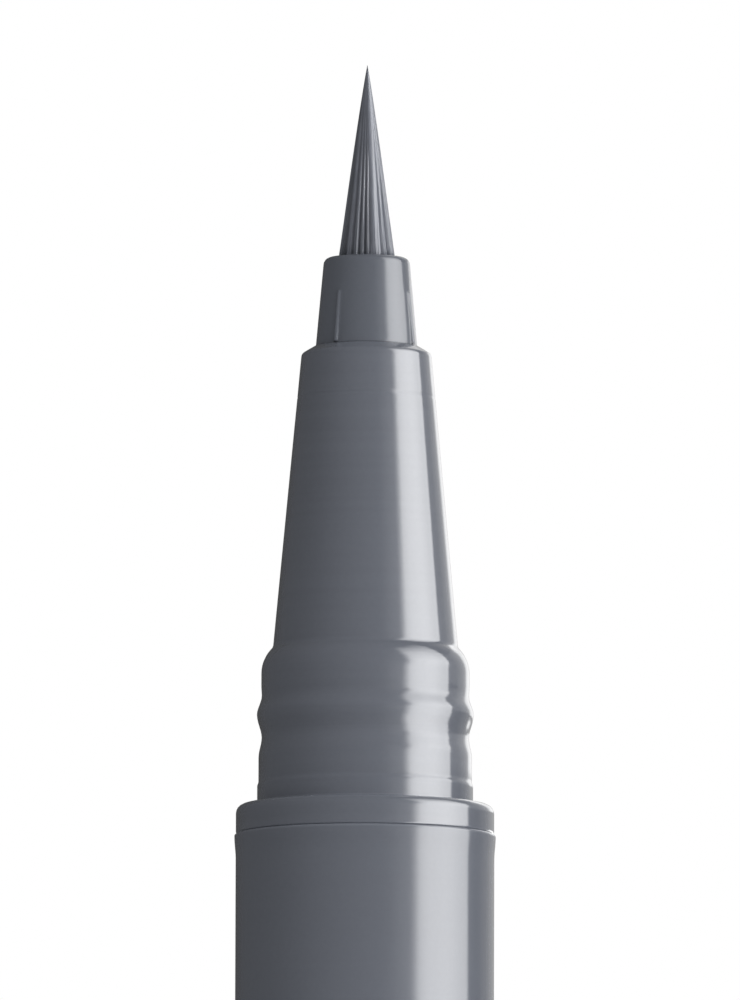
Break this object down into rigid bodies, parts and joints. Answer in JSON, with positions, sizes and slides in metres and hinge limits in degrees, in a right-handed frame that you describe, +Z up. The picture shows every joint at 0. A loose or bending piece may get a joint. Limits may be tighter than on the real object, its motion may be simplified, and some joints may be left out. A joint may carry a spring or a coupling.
{
  "type": "liquid eyeliner pen",
  "caption": "Slim pen with a fine pointed brush, a tapered nozzle with a snap neck, an ink tank with a comb collector, and a cap drawn off straight above the tip.",
  "frame": {"origin": "centre of the flat rear end, on the surface that the pen stands on", "axes": "+Z up along the pen's axis, towards the brush and the cap; -Y faces the viewer"},
  "size_m": [0.0106, 0.0106, 0.1785],
  "materials": {
    "shell": "gloss moulded, mid grey",
    "inner": "plain moulded, natural",
    "steel": "ground",
    "seal": "soft, matte",
    "fibre": "bonded fibre",
    "bristle": "fine tapered filaments, wet with ink"
  },
  "bodies": {
    "pen": {"barrel": "shell", "end_plug": "shell", "front_section": "shell", "collector": "inner", "tank_seal": "seal", "ink_feed": "fibre", "feed_guide": "inner", "tip_holder": "shell", "brush_root": "bristle", "brush": "bristle"},
    "cap": {"cap_shell": "shell", "inner_cap": "inner"},
    "ball": {"mixing_ball": "steel"}
  },
  "joints": [
    {"name": "cap_slide", "type": "slide", "parent": "pen", "child": "cap", "axis": [0, 0, 1], "range_m": [-0.04, 0]},
    {"name": "ball_slide", "type": "slide", "parent": "pen", "child": "ball", "axis": [0, 0, 1], "range_m": [0, 0.0723]}
  ]
}
